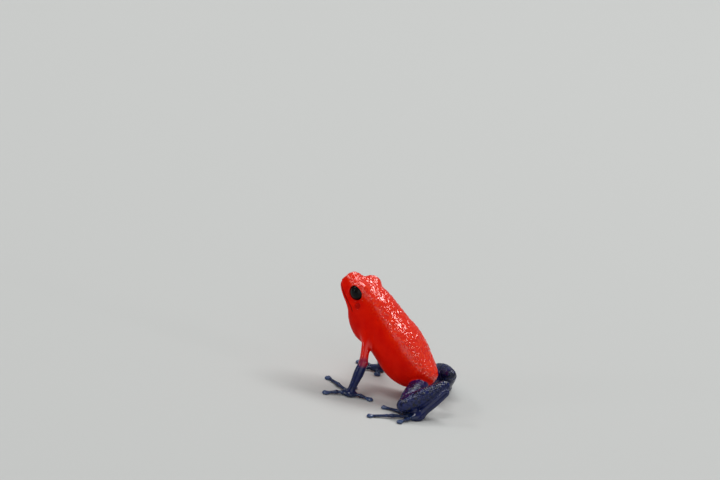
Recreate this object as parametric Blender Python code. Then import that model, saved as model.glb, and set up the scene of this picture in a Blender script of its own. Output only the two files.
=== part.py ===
"""Strawberry poison dart frog, a still, life-size model sitting raised on its arms.

It is modelled in millimetres and turned into metres at the end. The frog faces -Y, its left
is +X, and the floor is z = 0. The origin is the middle of the floor under the whole model.
Positions on the head and torso are given along the line from snout to vent: x to the frog's
left, then the distance behind the snout, then the height above that line, towards the back.
"""

import math

import bpy
import bmesh
import numpy as np
from mathutils import Matrix, Vector

# Units and clearances
MM = 0.001
GAP = 0.3
EYE_GAP = 0.2

# The line from snout to vent, 20.9 mm long in life
SNOUT = Vector((0.0, -17.4, 15.3))
BODY_PITCH = math.radians(33.4)
BACKWARD = Vector((0.0, math.cos(BODY_PITCH), -math.sin(BODY_PITCH)))
UPWARD = Vector((0.0, math.sin(BODY_PITCH), math.cos(BODY_PITCH)))
NECK_AT = 6.6

# Stations of head and torso: distance behind the snout, half-width, top, line of the mouth and
# then of the widest flank, bottom
BODY_STATIONS = [
    (0.30, 0.00, -0.30, -0.30, -0.30),
    (0.31, 0.42, 0.25, -0.30, -0.48),
    (0.38, 0.84, 0.80, -0.30, -0.66),
    (0.58, 1.24, 1.28, -0.31, -0.84),
    (0.95, 1.66, 1.68, -0.33, -1.02),
    (1.60, 2.12, 1.98, -0.36, -1.28),
    (2.50, 2.58, 2.35, -0.42, -1.52),
    (3.50, 2.95, 2.72, -0.50, -1.80),
    (4.40, 3.18, 3.02, -0.58, -2.40),
    (5.30, 3.32, 3.25, -0.66, -3.50),
    (6.60, 3.42, 3.36, -0.78, -4.35),
    (8.00, 3.54, 3.30, -0.88, -4.68),
    (9.50, 3.68, 3.13, -0.92, -4.42),
    (11.2, 3.90, 2.97, -0.95, -4.10),
    (13.0, 4.05, 2.93, -1.00, -4.35),
    (14.8, 4.08, 2.60, -1.15, -4.68),
    (16.4, 3.90, 2.15, -1.30, -4.62),
    (17.8, 3.45, 1.66, -1.40, -4.25),
    (19.0, 2.85, 1.36, -1.30, -3.60),
    (19.9, 2.15, 1.14, -1.00, -2.75),
    (20.5, 1.40, 0.86, -0.60, -1.90),
    (20.85, 0.70, 0.42, -0.32, -1.00),
    (20.95, 0.00, -0.25, -0.25, -0.25),
]
BACK_SQUARENESS = 2.5
BELLY_SQUARENESS = 2.2

# The snout overhangs the mouth and fades into the head
OVERHANG_STARTS = 0.2
OVERHANG_ENDS = 2.0
OVERHANG = 0.20
OVERHANG_RISE = 0.45

# Mouth groove, which fades out towards the corner of the mouth
MOUTH_DEPTH = 0.16
MOUTH_DEPTH_SHARE = 0.3
MOUTH_CORNER = 5.3
MOUTH_FADE = 0.6
LIP_ANGLE = math.radians(4.5)

# Eyes and lids, in x, distance behind the snout and height
EYE_CENTRE = (2.00, 3.66, 1.42)
EYE_RADIUS = 1.25
EYE_AIM = (0.97, -0.08, 0.02)
LID_CENTRE = (1.98, 3.60, 1.60)
LID_RADIUS = 1.66
LID_OPENING_INSIDE = 0.90
LID_OPENING_OUTSIDE = 1.38
LID_BLEND = 0.35

# Nostrils and ears
NOSTRIL_CENTRE = (1.06, 0.58, 0.60)
NOSTRIL_SIZE = (0.16, 0.18, 0.14)
EAR_CENTRE = (3.34, 5.25, 0.45)
EAR_SIZE = (0.16, 0.58, 0.58)

# Fineness: points to half a section, sections, and sides and rings of rounded pieces
HEAD_COLUMNS = 18
TORSO_COLUMNS = 15
SNOUT_ROWS = (0.8, 4.0, 6)
FACE_STARTS = 4.3
FACE_RINGS = 17
TORSO_RINGS = 26
TORSO_END = 0.5
ROW_HALVINGS = 40
LIMB_SIDES = 14
LIMB_STEPS = 9
LIMB_CAP_ANGLES = (38.0, 70.0)
DIGIT_SIDES = 10
EYE_MESH = (24, 14)
SOCKET_MESH = (24, 14)
NOSTRIL_MESH = (10, 6)
EAR_MESH = (14, 8)
PAD_MESH = (18, 10)

# Colours of the wet skin and of the eyes
SCARLET = (0.55, 0.012, 0.004, 1.0)
NAVY = (0.012, 0.022, 0.11, 1.0)
EYE_BLACK = (0.004, 0.003, 0.003, 1.0)
SKIN_ROUGHNESS = 0.30
EYE_ROUGHNESS = 0.05


def clear_scene():
    for item in list(bpy.data.objects):
        bpy.data.objects.remove(item, do_unlink=True)


def make_material(name, colour, roughness):
    material = bpy.data.materials.new(name)
    material.use_nodes = True
    shader = material.node_tree.nodes["Principled BSDF"]
    shader.inputs["Base Color"].default_value = colour
    shader.inputs["Roughness"].default_value = roughness
    shader.inputs["Metallic"].default_value = 0.0
    return material


def smooth_step(low, high, value):
    share = min(max((value - low) / (high - low), 0.0), 1.0)
    return share * share * (3.0 - 2.0 * share)


def through_points(rows, position):
    """A smooth curve through rows of numbers, read at a position counted in rows."""
    last = len(rows) - 1
    position = min(max(position, 0.0), float(last))
    start = min(int(position), last - 1)
    t = position - start
    before, first, second, after = (
        np.array(rows[min(max(start + shift, 0), last)], dtype=float)
        for shift in (-1, 0, 1, 2)
    )
    return 0.5 * (
        2.0 * first
        + (second - before) * t
        + (2.0 * before - 5.0 * first + 4.0 * second - after) * t * t
        + (3.0 * first - before - 3.0 * second + after) * t * t * t
    )


def body_point(x, behind, height):
    """From x, distance behind the snout and height to the model's own axes."""
    return SNOUT + Vector((x, 0.0, 0.0)) + BACKWARD * behind + UPWARD * height


def body_direction(x, behind, height):
    return (Vector((x, 0.0, 0.0)) + BACKWARD * behind + UPWARD * height).normalized()


# Solids from rings


def solid_from_rings(name, rings, first_point=None, last_point=None):
    """A closed body through rings of points, ended by a point or by a flat face."""
    mesh_data = bmesh.new()
    loops = [[mesh_data.verts.new(point) for point in ring] for ring in rings]
    count = len(loops[0])
    for front, back in zip(loops, loops[1:]):
        for index in range(count):
            following = (index + 1) % count
            mesh_data.faces.new((front[index], front[following], back[following], back[index]))
    for point, loop in ((first_point, loops[0]), (last_point, loops[-1])):
        if point is None:
            mesh_data.faces.new(loop)
            continue
        pole = mesh_data.verts.new(point)
        for index in range(count):
            mesh_data.faces.new((loop[index], loop[(index + 1) % count], pole))
    bmesh.ops.recalc_face_normals(mesh_data, faces=mesh_data.faces)
    return finish_solid(name, mesh_data)


def finish_solid(name, mesh_data):
    """Puts an edited mesh into an object, keeping its largest closed surface."""
    keep_largest(mesh_data)
    mesh = bpy.data.meshes.new(name)
    mesh_data.to_mesh(mesh)
    mesh_data.free()
    solid = bpy.data.objects.new(name, mesh)
    bpy.context.scene.collection.objects.link(solid)
    return solid


def keep_largest(mesh_data):
    """Removes every loose surface but the one with the most faces."""
    unseen = set(mesh_data.faces)
    groups = []
    while unseen:
        group = {unseen.pop()}
        edge_of_group = list(group)
        while edge_of_group:
            face = edge_of_group.pop()
            for edge in face.edges:
                for other in edge.link_faces:
                    if other in unseen:
                        unseen.discard(other)
                        group.add(other)
                        edge_of_group.append(other)
        groups.append(group)
    groups.sort(key=len, reverse=True)
    for group in groups[1:]:
        bmesh.ops.delete(mesh_data, geom=list(group), context="FACES")


def edited(solid):
    """The solid's mesh, opened for editing."""
    mesh_data = bmesh.new()
    mesh_data.from_mesh(solid.data)
    return mesh_data


def replace_mesh(solid, mesh_data):
    keep_largest(mesh_data)
    mesh_data.to_mesh(solid.data)
    mesh_data.free()


def swollen(solid, amount):
    """A copy of a solid, grown outwards, to cut its neighbours clear of it."""
    mesh_data = edited(solid)
    mesh_data.normal_update()
    moves = [(vert, vert.co + vert.normal * amount) for vert in mesh_data.verts]
    for vert, place in moves:
        vert.co = place
    mesh = bpy.data.meshes.new("swollen")
    mesh_data.to_mesh(mesh)
    mesh_data.free()
    copy = bpy.data.objects.new("swollen", mesh)
    bpy.context.scene.collection.objects.link(copy)
    copy.hide_render = True
    copy.display_type = "WIRE"
    return copy


def combine(solid, others, operation):
    """Cuts solids from a solid or joins them to it, and removes those others."""
    group = bpy.data.collections.new("others")
    bpy.context.scene.collection.children.link(group)
    for other in others:
        group.objects.link(other)
    modifier = solid.modifiers.new("combine", "BOOLEAN")
    modifier.operation = operation
    modifier.solver = "EXACT"
    modifier.operand_type = "COLLECTION"
    modifier.collection = group
    graph = bpy.context.evaluated_depsgraph_get()
    result = bpy.data.meshes.new_from_object(solid.evaluated_get(graph))
    solid.modifiers.remove(modifier)
    solid.data = result
    for other in others:
        bpy.data.objects.remove(other, do_unlink=True)
    bpy.data.collections.remove(group)
    replace_mesh(solid, edited(solid))


def cut_clear(solid, neighbours, gap=GAP):
    """Cuts a solid back until it stands a gap away from its neighbours."""
    combine(solid, [swollen(neighbour, gap) for neighbour in neighbours], "DIFFERENCE")


def slice_off(solid, point, normal):
    """Removes what lies beyond a plane, on its normal's side, and closes the cut."""
    mesh_data = edited(solid)
    everything = list(mesh_data.verts) + list(mesh_data.edges) + list(mesh_data.faces)
    bmesh.ops.bisect_plane(
        mesh_data, geom=everything, plane_co=point, plane_no=normal, clear_outer=True
    )
    rim = [edge for edge in mesh_data.edges if edge.is_boundary]
    bmesh.ops.holes_fill(mesh_data, edges=rim, sides=0)
    bmesh.ops.recalc_face_normals(mesh_data, faces=mesh_data.faces)
    replace_mesh(solid, mesh_data)


def part_at_joint(upper, lower, joint, upper_start, lower_end):
    """Parts two limb segments at the plane that halves the angle between them."""
    to_upper = (upper_start - joint).normalized()
    to_lower = (lower_end - joint).normalized()
    normal = (to_lower - to_upper).normalized()
    slice_off(upper, joint - normal * (GAP / 2.0), normal)
    slice_off(lower, joint + normal * (GAP / 2.0), -normal)


def stand_on_floor(solid):
    slice_off(solid, Vector((0.0, 0.0, 0.0)), Vector((0.0, 0.0, -1.0)))


def ball(name, centre, sizes, fineness, turn=None):
    """A ball or egg with the given half-sizes, turned by a matrix and moved to its centre."""
    segments, rings = fineness
    mesh_data = bmesh.new()
    bmesh.ops.create_uvsphere(mesh_data, u_segments=segments, v_segments=rings, radius=1.0)
    shape = Matrix.Diagonal((*sizes, 1.0))
    if turn is not None:
        shape = turn.to_4x4() @ shape
    bmesh.ops.transform(
        mesh_data, matrix=Matrix.Translation(centre) @ shape, verts=mesh_data.verts
    )
    return finish_solid(name, mesh_data)


# Head and torso


def section_angles(columns):
    """Angles round a section, from the mouth's line up over the back and down round the belly.

    The columns beside the mouth's line lie close to it, so that the lips stay crisp.
    """
    quarter = [0.0, LIP_ANGLE]
    for step in range(1, columns // 2 + 1):
        share = step / (columns // 2)
        quarter.append(LIP_ANGLE + (math.pi / 2.0 - LIP_ANGLE) * share)
    upper = quarter + [math.pi - angle for angle in reversed(quarter[:-1])]
    lower = [math.pi * 2.0 - angle for angle in reversed(upper[1:-1])]
    return upper + lower


def overhang(behind, height, mouth_line):
    """How far the snout stands forward at a height above the mouth's line."""
    rise = smooth_step(mouth_line, mouth_line + OVERHANG_RISE, height)
    fade = 1.0 - smooth_step(OVERHANG_STARTS, OVERHANG_ENDS, behind)
    return OVERHANG * rise * fade


def mouth_groove(behind, angle):
    """Depth of the groove between the lips, on the column of the mouth's line."""
    sideways = min(abs(angle), abs(angle - math.pi), abs(angle - 2.0 * math.pi))
    if sideways > LIP_ANGLE * 0.5:
        return 0.0
    return MOUTH_DEPTH * (1.0 - smooth_step(MOUTH_CORNER - MOUTH_FADE, MOUTH_CORNER, behind))


def lid_reach(x, behind, height, out_x, out_height):
    """Distance from a section's middle, along a ray, at which the ray leaves the lid's ball."""
    side = 1.0 if out_x >= 0.0 else -1.0
    offset = np.array([x - side * LID_CENTRE[0], behind - LID_CENTRE[1], height - LID_CENTRE[2]])
    ray = np.array([out_x, 0.0, out_height])
    half = float(offset @ ray)
    inside = half * half - (float(offset @ offset) - LID_RADIUS * LID_RADIUS)
    if inside <= 0.0:
        return 0.0
    return max(-half + math.sqrt(inside), 0.0)


def blended_max(first, second, blend):
    """The larger of two lengths, with the corner between them rounded."""
    near = max(blend - abs(first - second), 0.0) / blend
    return max(first, second) + near * near * blend * 0.25


def body_ring(position, columns, with_face):
    """One ring of points round head or torso, at a position in rows of BODY_STATIONS."""
    behind, half_width, top, middle, bottom = through_points(BODY_STATIONS, position)
    ring = []
    for angle in section_angles(columns):
        across = math.cos(angle)
        up = math.sin(angle)
        power = 2.0 / (BACK_SQUARENESS if up >= 0.0 else BELLY_SQUARENESS)
        reach = top - middle if up >= 0.0 else middle - bottom
        x = math.copysign(abs(across) ** power, across) * half_width
        height = math.copysign(abs(up) ** power, up) * reach
        length = math.hypot(x, height)
        if length > 0.0 and with_face:
            out_x = x / length
            out_height = height / length
            longer = blended_max(
                length, lid_reach(0.0, behind, middle, out_x, out_height), LID_BLEND
            )
            longer -= min(mouth_groove(behind, angle), longer * MOUTH_DEPTH_SHARE)
            x = out_x * longer
            height = out_height * longer
        height += middle
        ring.append(body_point(x, behind - overhang(behind, height, middle), height))
    return ring


def row_at(behind):
    """The position in rows at which the body's line is this far behind the snout."""
    low = 0.0
    high = float(len(BODY_STATIONS) - 1)
    for _ in range(ROW_HALVINGS):
        half = (low + high) / 2.0
        if through_points(BODY_STATIONS, half)[0] < behind:
            low = half
        else:
            high = half
    return (low + high) / 2.0


def evenly(start, end, count):
    return [start + (end - start) * step / (count - 1) for step in range(count)]


def make_head():
    neck = row_at(NECK_AT - GAP / 2.0)
    rows = evenly(*SNOUT_ROWS) + evenly(FACE_STARTS, neck, FACE_RINGS)
    rings = [body_ring(row, HEAD_COLUMNS, True) for row in rows]
    start = BODY_STATIONS[0]
    mouth_front = body_point(0.0, start[0] + MOUTH_DEPTH * MOUTH_DEPTH_SHARE, start[3])
    head = solid_from_rings("head", rings, first_point=mouth_front)
    cutters = []
    for side in (1.0, -1.0):
        centre = body_point(side * EYE_CENTRE[0], EYE_CENTRE[1], EYE_CENTRE[2])
        aim = body_direction(side * EYE_AIM[0], EYE_AIM[1], EYE_AIM[2])
        turn = aim.to_track_quat("Z", "Y").to_matrix()
        socket = EYE_RADIUS + EYE_GAP
        cutters.append(ball("socket", centre, (socket,) * 3, SOCKET_MESH, turn))
        opening = bmesh.new()
        bmesh.ops.create_cone(
            opening,
            cap_ends=True,
            segments=SOCKET_MESH[0],
            radius1=LID_OPENING_INSIDE,
            radius2=LID_OPENING_OUTSIDE,
            depth=LID_RADIUS,
        )
        place = Matrix.Translation(centre + aim * LID_RADIUS) @ turn.to_4x4()
        bmesh.ops.transform(opening, matrix=place, verts=opening.verts)
        cutters.append(finish_solid("opening", opening))
        nostril = body_point(side * NOSTRIL_CENTRE[0], NOSTRIL_CENTRE[1], NOSTRIL_CENTRE[2])
        cutters.append(ball("nostril", nostril, NOSTRIL_SIZE, NOSTRIL_MESH))
        ear = body_point(side * EAR_CENTRE[0], EAR_CENTRE[1], EAR_CENTRE[2])
        cutters.append(ball("ear", ear, EAR_SIZE, EAR_MESH))
    combine(head, cutters, "DIFFERENCE")
    return head


def make_torso():
    neck = row_at(NECK_AT + GAP / 2.0)
    last = len(BODY_STATIONS) - 1
    rows = evenly(neck, last - TORSO_END, TORSO_RINGS)
    rings = [body_ring(row, TORSO_COLUMNS, False) for row in rows]
    end = BODY_STATIONS[-1]
    return solid_from_rings("torso", rings, last_point=body_point(0.0, end[0], end[3]))


def make_eye(name, side):
    centre = body_point(side * EYE_CENTRE[0], EYE_CENTRE[1], EYE_CENTRE[2])
    aim = body_direction(side * EYE_AIM[0], EYE_AIM[1], EYE_AIM[2])
    turn = aim.to_track_quat("Z", "Y").to_matrix()
    return ball(name, centre, (EYE_RADIUS,) * 3, EYE_MESH, turn)


# Limbs

# Joints of the left limbs. Right limbs have their own, because the frog sits a little askew.
ARM_LEFT = {
    "root": Vector((2.3, -10.9, 10.2)),
    "elbow": Vector((5.0, -9.6, 5.0)),
    "wrist": Vector((6.5, -10.2, 0.95)),
    "palm": Vector((6.6, -10.45, 0.40)),
    "palm_heading": -20.0,
}
ARM_RIGHT = {
    "root": Vector((-2.3, -10.9, 10.2)),
    "elbow": Vector((-5.0, -10.9, 5.0)),
    "wrist": Vector((-5.5, -11.9, 0.95)),
    "palm": Vector((-5.5, -12.3, 0.40)),
    "palm_heading": 15.0,
}
LEG_LEFT = {
    "hip": Vector((1.5, -1.4, 3.1)),
    "knee": Vector((7.9, -0.45, 1.95)),
    "heel": Vector((2.5, 3.05, 4.6)),
    "ankle": Vector((3.1, 3.5, 3.9)),
    "sole": Vector((6.9, 1.3, 0.42)),
    "sole_heading": 52.0,
}
LEG_RIGHT = {
    "hip": Vector((-1.5, -1.7, 3.1)),
    "knee": Vector((-8.2, -3.4, 2.1)),
    "heel": Vector((-3.0, 1.1, 4.35)),
    "ankle": Vector((-3.9, 0.95, 3.75)),
    "sole": Vector((-7.0, -1.3, 0.42)),
    "sole_heading": -52.0,
}

# Thickness along each segment, as radii at even steps
UPPER_ARM_RADII = [0.95, 0.90, 0.74, 0.66, 0.64, 0.66]
FOREARM_RADII = [0.66, 0.76, 0.76, 0.68, 0.60, 0.56]
THIGH_RADII = [1.15, 1.36, 1.44, 1.38, 1.22, 1.04]
SHANK_RADII = [1.06, 1.20, 1.24, 1.16, 0.98, 0.84]
TARSUS_RADII = [0.72, 0.80, 0.82, 0.80, 0.74, 0.62]

PALM_SIZE = (0.95, 1.15, 0.52)
SOLE_SIZE = (0.85, 1.20, 0.52)

# Digits: where each leaves its pad, as a heading from straight ahead towards the side, and
# where its tip lies on the floor
FINGERS_LEFT = [
    (-168.0, (6.0, -7.2)),
    (-88.0, (3.7, -11.2)),
    (-30.0, (3.5, -15.9)),
    (38.0, (8.8, -13.2)),
]
FINGERS_RIGHT = [
    (118.0, (-3.7, -11.4)),
    (55.0, (-3.8, -14.5)),
    (0.0, (-5.9, -15.9)),
    (-62.0, (-8.6, -13.6)),
]
TOES_LEFT = [
    (-75.0, (4.4, 0.0)),
    (-35.0, (4.9, -2.0)),
    (2.0, (7.0, -4.1)),
    (42.0, (11.5, -4.0)),
    (84.0, (10.1, 0.3)),
]
TOES_RIGHT = [
    (75.0, (-4.5, -2.6)),
    (35.0, (-5.0, -4.6)),
    (-2.0, (-7.1, -6.7)),
    (-42.0, (-11.6, -6.5)),
    (-84.0, (-10.2, -2.3)),
]
FINGER_HALF_WIDTH = 0.29
TOE_HALF_WIDTH = 0.28
FINGER_DISC = 0.56
TOE_DISC = 0.48
DIGIT_HALF_HEIGHT = 0.27
DIGIT_TAPER = 0.12
DIGIT_ROOT_REACH = 0.7
DIGIT_ROOT_HEIGHT = 0.36
DIGIT_TIP_HEIGHT = 0.2
ROOT_POINT = 0.1
KNUCKLE_SHARE = 0.45
KNUCKLE_LIFT = 0.10
DISC_HALF_HEIGHT = 0.25
DISC_LENGTH = 1.05
DISC_STARTS = 1.9
DISC_FULL = 0.4
DIGIT_SHARES = (0.0, 0.25, 0.5, 0.7, 0.8, 0.88, 0.94, 1.0)
DISC_CAP_ANGLES = (35.0, 62.0)


def limb(name, start, end, radii):
    """A rounded limb segment between two joints."""
    along = (end - start).normalized()
    across = along.orthogonal().normalized()
    over = along.cross(across)
    length = (end - start).length
    rows = [[radius] for radius in radii]
    cap = [math.radians(angle) for angle in LIMB_CAP_ANGLES]
    stations = []
    for angle in reversed(cap):
        stations.append((-radii[0] * math.sin(angle) / length, radii[0] * math.cos(angle)))
    for share in evenly(0.0, 1.0, LIMB_STEPS + 1):
        radius = float(through_points(rows, share * (len(rows) - 1))[0])
        stations.append((share, radius))
    for angle in cap:
        stations.append((1.0 + radii[-1] * math.sin(angle) / length, radii[-1] * math.cos(angle)))
    rings = []
    for share, radius in stations:
        centre = start + (end - start) * share
        ring = []
        for index in range(LIMB_SIDES):
            turn = 2.0 * math.pi * index / LIMB_SIDES
            ring.append(centre + (across * math.cos(turn) + over * math.sin(turn)) * radius)
        rings.append(ring)
    first = start - along * radii[0]
    last = end + along * radii[-1]
    return solid_from_rings(name, rings, first_point=first, last_point=last)


def heading_vector(degrees):
    """A direction on the floor, turned from straight ahead towards +X."""
    angle = math.radians(degrees)
    return Vector((math.sin(angle), -math.cos(angle), 0.0))


def pad(name, centre, sizes, heading):
    """A palm or sole: a flattened egg whose long side points along a heading."""
    turn = Matrix.Rotation(math.radians(heading), 3, "Z")
    solid = ball(name, centre, sizes, PAD_MESH, turn)
    stand_on_floor(solid)
    return solid


def digit(name, pad_centre, root_heading, tip, half_width, disc):
    """A finger or toe: a slim shaft that ends in a wide, flat disc on the floor."""
    root = pad_centre + heading_vector(root_heading) * DIGIT_ROOT_REACH
    root.z = DIGIT_ROOT_HEIGHT
    tip_point = Vector((tip[0], tip[1], DIGIT_TIP_HEIGHT))
    reach = tip_point - root
    level = Vector((reach.x, reach.y, 0.0)).normalized()
    across = Vector((-level.y, level.x, 0.0))
    knuckle = root + reach * KNUCKLE_SHARE + Vector((0.0, 0.0, KNUCKLE_LIFT))
    path = [tuple(root), tuple(knuckle), tuple(tip_point)]
    rings = []
    disc_length = disc * DISC_LENGTH
    disc_share = disc_length / reach.length
    for share in DIGIT_SHARES:
        swell = smooth_step(1.0 - DISC_STARTS * disc_share, 1.0 - DISC_FULL * disc_share, share)
        wide = half_width * (1.0 - DIGIT_TAPER * share) * (1.0 - swell) + disc * swell
        high = DIGIT_HALF_HEIGHT * (1.0 - swell) + DISC_HALF_HEIGHT * swell
        rings.append((Vector(through_points(path, share * (len(path) - 1))), wide, high))
    for angle in (math.radians(a) for a in DISC_CAP_ANGLES):
        ahead = tip_point + level * (disc_length * math.sin(angle))
        rings.append((ahead, disc * math.cos(angle), DISC_HALF_HEIGHT * math.cos(angle)))
    loops = []
    for centre, wide, high in rings:
        loop = []
        for index in range(DIGIT_SIDES):
            turn = 2.0 * math.pi * (index + 0.5) / DIGIT_SIDES
            place = across * (wide * math.cos(turn)) + Vector((0.0, 0.0, high * math.sin(turn)))
            loop.append(centre + place)
        loops.append(loop)
    end = tip_point + level * disc_length
    solid = solid_from_rings(name, loops, first_point=root - level * ROOT_POINT, last_point=end)
    stand_on_floor(solid)
    return solid


def make_arm(side_name, joints, fingers, torso):
    upper_arm = limb(
        "upper_arm_" + side_name, joints["root"], joints["elbow"], UPPER_ARM_RADII
    )
    forearm = limb("forearm_" + side_name, joints["elbow"], joints["wrist"], FOREARM_RADII)
    hand = pad("hand_" + side_name, joints["palm"], PALM_SIZE, joints["palm_heading"])
    part_at_joint(upper_arm, forearm, joints["elbow"], joints["root"], joints["wrist"])
    cut_clear(upper_arm, [torso])
    cut_clear(forearm, [hand])
    pieces = [forearm, hand]
    for number, (heading, tip) in enumerate(fingers, start=1):
        name = "finger_" + str(number) + "_" + side_name
        finger = digit(name, joints["palm"], heading, tip, FINGER_HALF_WIDTH, FINGER_DISC)
        cut_clear(finger, [hand])
        pieces.append(finger)
    return upper_arm, pieces


def make_leg(side_name, joints, toes, torso):
    thigh = limb("thigh_" + side_name, joints["hip"], joints["knee"], THIGH_RADII)
    shank = limb("shank_" + side_name, joints["knee"], joints["heel"], SHANK_RADII)
    tarsus = limb("tarsus_" + side_name, joints["ankle"], joints["sole"], TARSUS_RADII)
    foot = pad("foot_" + side_name, joints["sole"], SOLE_SIZE, joints["sole_heading"])
    part_at_joint(thigh, shank, joints["knee"], joints["hip"], joints["heel"])
    cut_clear(thigh, [torso])
    cut_clear(tarsus, [shank, foot])
    pieces = [thigh, shank, tarsus, foot]
    for number, (heading, tip) in enumerate(toes, start=1):
        name = "toe_" + str(number) + "_" + side_name
        toe = digit(name, joints["sole"], heading, tip, TOE_HALF_WIDTH, TOE_DISC)
        cut_clear(toe, [foot])
        pieces.append(toe)
    return pieces


def settle(solids):
    """Moves the frog over the origin and turns millimetres into metres."""
    corners = np.array([tuple(vert.co) for solid in solids for vert in solid.data.vertices])
    middle = (corners.min(axis=0) + corners.max(axis=0)) / 2.0
    move = Matrix.Translation((-middle[0], -middle[1], 0.0))
    for solid in solids:
        solid.data.transform(Matrix.Scale(MM, 4) @ move)
        solid.data.shade_smooth()
        solid.data.update()


def main():
    clear_scene()
    scarlet = make_material("scarlet_skin", SCARLET, SKIN_ROUGHNESS)
    navy = make_material("navy_skin", NAVY, SKIN_ROUGHNESS)
    eye_black = make_material("eye_black", EYE_BLACK, EYE_ROUGHNESS)

    torso = make_torso()
    red = [make_head(), torso]
    blue = []
    for side_name, arm, fingers, leg, toes in (
        ("left", ARM_LEFT, FINGERS_LEFT, LEG_LEFT, TOES_LEFT),
        ("right", ARM_RIGHT, FINGERS_RIGHT, LEG_RIGHT, TOES_RIGHT),
    ):
        upper_arm, arm_pieces = make_arm(side_name, arm, fingers, torso)
        red.append(upper_arm)
        blue.extend(arm_pieces)
        blue.extend(make_leg(side_name, leg, toes, torso))
    eyes = [make_eye("eye_left", 1.0), make_eye("eye_right", -1.0)]

    for group, material in ((red, scarlet), (blue, navy), (eyes, eye_black)):
        for solid in group:
            solid.data.materials.clear()
            solid.data.materials.append(material)
    settle(red + blue + eyes)


main()
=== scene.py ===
"""Looks of the strawberry poison dart frog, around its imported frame.

One continuous skin takes the place of every solid of flesh. It is the surface of a smooth field,
worked out in millimetres: the frog faces -Y, its left is +X and the floor is z = 0. Only lights
and floor are in metres.
"""
import math

import bpy
import numpy as np
from mathutils import Matrix, Vector, noise


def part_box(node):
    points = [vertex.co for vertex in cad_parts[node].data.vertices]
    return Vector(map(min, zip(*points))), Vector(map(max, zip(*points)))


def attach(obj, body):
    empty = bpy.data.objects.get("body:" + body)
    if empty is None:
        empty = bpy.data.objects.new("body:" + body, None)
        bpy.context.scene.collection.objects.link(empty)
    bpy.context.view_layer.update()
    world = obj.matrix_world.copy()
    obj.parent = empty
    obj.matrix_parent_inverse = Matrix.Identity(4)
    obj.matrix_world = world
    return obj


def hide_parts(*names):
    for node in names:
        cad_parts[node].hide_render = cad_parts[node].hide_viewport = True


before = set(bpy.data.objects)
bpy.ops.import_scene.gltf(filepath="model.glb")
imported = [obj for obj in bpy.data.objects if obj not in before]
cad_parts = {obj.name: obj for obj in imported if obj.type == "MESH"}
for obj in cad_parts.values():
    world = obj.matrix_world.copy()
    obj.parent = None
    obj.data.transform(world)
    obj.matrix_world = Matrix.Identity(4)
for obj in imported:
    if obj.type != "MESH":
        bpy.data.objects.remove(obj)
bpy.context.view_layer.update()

MM = 0.001

# The line from snout to vent
SNOUT = np.array([0.0, -17.4, 15.3])
BODY_PITCH = math.radians(33.4)
SIDEWAYS = np.array([1.0, 0.0, 0.0])
BACKWARD = np.array([0.0, math.cos(BODY_PITCH), -math.sin(BODY_PITCH)])
UPWARD = np.array([0.0, math.sin(BODY_PITCH), math.cos(BODY_PITCH)])

# Stations of head and torso: distance behind the snout, half-width, top, middle (the mouth's line
# on the head and the widest place on the torso) and bottom
BODY_STATIONS = [
    (0.30, 0.00, -0.30, -0.30, -0.30),
    (0.31, 0.42, 0.36, -0.30, -0.48),
    (0.38, 0.84, 0.98, -0.30, -0.66),
    (0.58, 1.24, 1.50, -0.31, -0.84),
    (0.95, 1.66, 1.86, -0.33, -1.02),
    (1.60, 2.12, 2.06, -0.36, -1.28),
    (2.50, 2.58, 2.35, -0.42, -1.52),
    (3.50, 2.95, 2.72, -0.50, -1.80),
    (4.40, 3.18, 3.02, -0.58, -2.40),
    (5.30, 3.32, 3.25, -0.66, -3.50),
    (6.60, 3.42, 3.36, -0.78, -4.35),
    (8.00, 3.54, 3.30, -0.88, -4.68),
    (9.50, 3.68, 3.13, -0.92, -4.42),
    (11.2, 3.90, 2.97, -0.95, -4.10),
    (13.0, 4.05, 2.93, -1.00, -4.35),
    (14.8, 4.08, 2.60, -1.15, -4.68),
    (16.4, 3.90, 2.15, -1.30, -4.62),
    (17.8, 3.45, 1.66, -1.40, -4.25),
    (19.0, 2.85, 1.36, -1.30, -3.60),
    (19.9, 2.15, 1.14, -1.00, -2.75),
    (20.5, 1.40, 0.86, -0.60, -1.90),
    (20.85, 0.70, 0.42, -0.32, -1.00),
    (20.95, 0.00, -0.25, -0.25, -0.25),
]

# Least half-width and half-height, squareness of the cross-section, and a box round the body
LEAST_REACH = 0.02
BACK_SQUARENESS = 2.5
BELLY_SQUARENESS = 2.2
BODY_LOW = (-5.0, -19.0, 0.0)
BODY_HIGH = (5.0, 1.5, 17.5)

# How far the snout hangs over the mouth, the height it takes, and where it fades out behind
OVERHANG = 0.20
OVERHANG_RISE = 0.45
OVERHANG_FADE = (0.2, 2.0)

# Face: centres are x, distance behind the snout and height above the line from snout to vent
EYE_CENTRE = np.array([2.00, 3.66, 1.42])
EYE_RADIUS = 1.30
EYE_AIM = np.array([0.97, -0.08, 0.02])
BROW_CENTRE = np.array([1.82, 3.60, 1.60])
BROW_RADIUS = 1.51
LID_RADIUS = 1.40
LID_LENGTH = 1.08
LID_HEIGHT = 0.88
LID_FLARE = 0.35
LID_FLARE_START = 0.6
BOWL_AWAY = 2.10
BOWL_RADIUS = 1.90
SOCKET_GAP = 0.02
MOUTH_CORNER = 5.3
NOSTRIL_CENTRE = np.array([0.98, 0.50, 0.55])
EAR_CENTRE = np.array([3.25, 5.25, 0.45])
EAR_RADIUS = 0.54

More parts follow.
